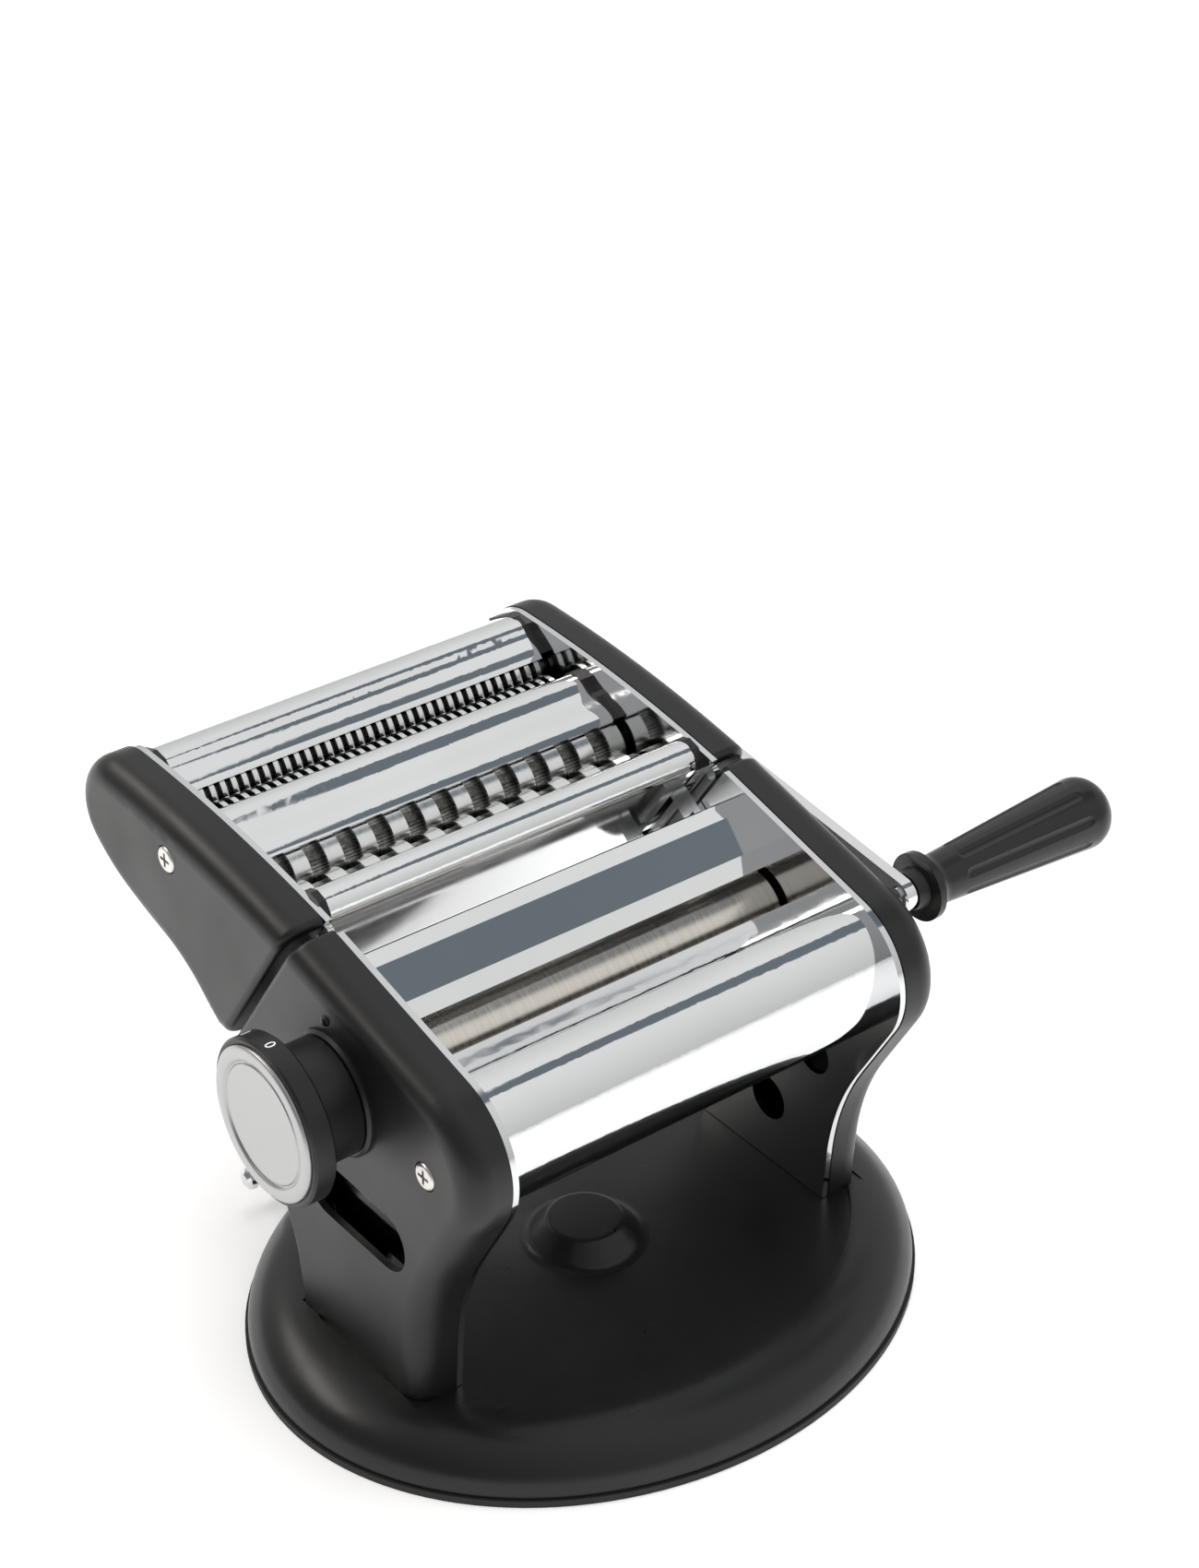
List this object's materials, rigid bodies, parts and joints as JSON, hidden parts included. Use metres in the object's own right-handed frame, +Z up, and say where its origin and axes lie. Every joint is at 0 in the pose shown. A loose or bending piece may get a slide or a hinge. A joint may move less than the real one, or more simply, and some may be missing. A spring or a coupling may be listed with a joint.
{
  "type": "pasta roller machine",
  "caption": "Hand-cranked pasta machine on an oval suction base: two smooth rollers with a dial-set gap, and a lift-off cutter unit for wide and narrow noodles.",
  "frame": {"origin": "on the resting plane, at the centre of the oval base", "axes": "+X along the rollers towards the crank, +Y to the rear where the cutter unit is, +Z up"},
  "size_m": [0.3209, 0.2603, 0.1763],
  "materials": {
    "black_shell": "satin black moulded shell",
    "black_plastic": "satin black",
    "grip_plastic": "smooth black",
    "rubber": "soft black",
    "chrome_sheet": "mirror bright",
    "polished_steel": "polished",
    "roller_steel": "ground smooth",
    "gear_steel": "machined",
    "bright_steel": "bright drawn",
    "screw_steel": "satin nickel",
    "satin_metal": "fine satin"
  },
  "bodies": {
    "body": {"base_shell": "black_shell", "foot_ring": "rubber", "base_screws": "screw_steel", "side_cover_left": "black_plastic", "side_cover_right": "black_plastic", "side_plate_left": "polished_steel", "side_plate_right": "polished_steel", "front_cover": "chrome_sheet", "feed_plate": "chrome_sheet", "tie_rods": "bright_steel", "scrapers": "black_plastic", "body_cover_screws": "screw_steel", "dial_collar": "black_plastic", "roller_bushings": "bright_steel"},
    "front_roller": {"roller_front": "roller_steel", "gear_front": "gear_steel"},
    "gap_carriage": {"gap_bushings": "bright_steel", "gap_yoke": "polished_steel"},
    "rear_roller": {"roller_rear": "roller_steel", "gear_rear": "gear_steel"},
    "gap_shaft": {"dial_shaft": "bright_steel"},
    "dial": {"dial_ring": "black_plastic", "dial_disc": "satin_metal", "dial_neck": "black_plastic"},
    "suction_lever": {"suction_shaft": "bright_steel", "suction_lever": "bright_steel"},
    "suction_stem": {"suction_stem": "black_plastic", "suction_cup": "rubber"},
    "cutter_unit": {"cutter_plate_left": "polished_steel", "cutter_plate_right": "polished_steel", "cutter_cover_left": "black_plastic", "cutter_cover_right": "black_plastic", "cutter_cover_rear": "chrome_sheet", "cutter_cover_middle": "chrome_sheet", "cutter_cover_front": "chrome_sheet", "cutter_end_caps": "black_plastic", "cutter_front_wall": "polished_steel", "cutter_combs": "black_plastic", "cutter_tie_rods": "bright_steel", "cutter_cover_screws": "screw_steel", "cutter_bushings": "bright_steel", "cutter_hooks": "polished_steel"},
    "wide_rear": {"cutter_wide_rear": "roller_steel", "gear_wide_rear": "gear_steel"},
    "wide_front": {"cutter_wide_front": "roller_steel", "gear_wide_front": "gear_steel"},
    "narrow_rear": {"cutter_narrow_rear": "roller_steel", "gear_narrow_rear": "gear_steel"},
    "narrow_front": {"cutter_narrow_front": "roller_steel", "gear_narrow_front": "gear_steel"},
    "crank": {"crank_arm": "chrome_sheet", "crank_shaft": "bright_steel", "grip_spindle": "bright_steel"},
    "grip": {"grip": "grip_plastic"}
  },
  "joints": [
    {"name": "front_roller_spin", "type": "hinge", "parent": "body", "child": "front_roller", "pos_m": [0, -0.0305, 0.1215], "axis": [1, 0, 0], "continuous": true},
    {"name": "dial_turn", "type": "hinge", "parent": "body", "child": "gap_shaft", "pos_m": [0, 0.0036, 0.1227], "axis": [1, 0, 0], "range_deg": [0, 210]},
    {"name": "dial_pull", "type": "slide", "parent": "gap_shaft", "child": "dial", "axis": [-1, 0, 0], "range_m": [0, 0.005], "stiffness_N_per_m": 300},
    {"name": "gap_slide", "type": "slide", "parent": "body", "child": "gap_carriage", "axis": [0, -1, 0], "range_m": [0, 0.0025]},
    {"name": "rear_roller_spin", "type": "hinge", "parent": "gap_carriage", "child": "rear_roller", "pos_m": [0, 0.0035, 0.1215], "axis": [1, 0, 0], "continuous": true},
    {"name": "unit_lift", "type": "slide", "parent": "body", "child": "cutter_unit", "axis": [0, -0.5599, 0.8286], "range_m": [0, 0.06]},
    {"name": "wide_cutter_spin", "type": "hinge", "parent": "cutter_unit", "child": "wide_rear", "pos_m": [0, 0.084, 0.1475], "axis": [1, 0, 0], "continuous": true},
    {"name": "wide_front_spin", "type": "hinge", "parent": "cutter_unit", "child": "wide_front", "pos_m": [0, 0.06441, 0.14348], "axis": [1, 0, 0], "continuous": true},
    {"name": "narrow_cutter_spin", "type": "hinge", "parent": "cutter_unit", "child": "narrow_rear", "pos_m": [0, 0.1295, 0.157], "axis": [1, 0, 0], "continuous": true},
    {"name": "narrow_front_spin", "type": "hinge", "parent": "cutter_unit", "child": "narrow_front", "pos_m": [0, 0.10991, 0.15298], "axis": [1, 0, 0], "continuous": true},
    {"name": "crank_pull", "type": "slide", "parent": "wide_rear", "child": "crank", "axis": [1, 0, 0], "range_m": [0, 0.03]},
    {"name": "grip_spin", "type": "hinge", "parent": "crank", "child": "grip", "pos_m": [0, -0.035, 0.1346], "axis": [1, 0, 0], "continuous": true},
    {"name": "suction_turn", "type": "hinge", "parent": "body", "child": "suction_lever", "pos_m": [0, 0.1045, 0.0115], "axis": [0, 1, 0], "range_deg": [0, 90]},
    {"name": "stem_slide", "type": "slide", "parent": "body", "child": "suction_stem", "axis": [0, 0, 1], "range_m": [0, 0.0031], "deforming": ["suction_cup"]}
  ],
  "couplings": [
    {"joint": "rear_roller_spin", "follows": "front_roller_spin", "ratio": -1},
    {"joint": "dial_turn", "follows": "gap_slide", "rad_per_m": 1466},
    {"joint": "wide_front_spin", "follows": "wide_cutter_spin", "ratio": -1},
    {"joint": "narrow_front_spin", "follows": "narrow_cutter_spin", "ratio": -1},
    {"joint": "suction_turn", "follows": "stem_slide", "rad_per_m": 506.5}
  ]
}
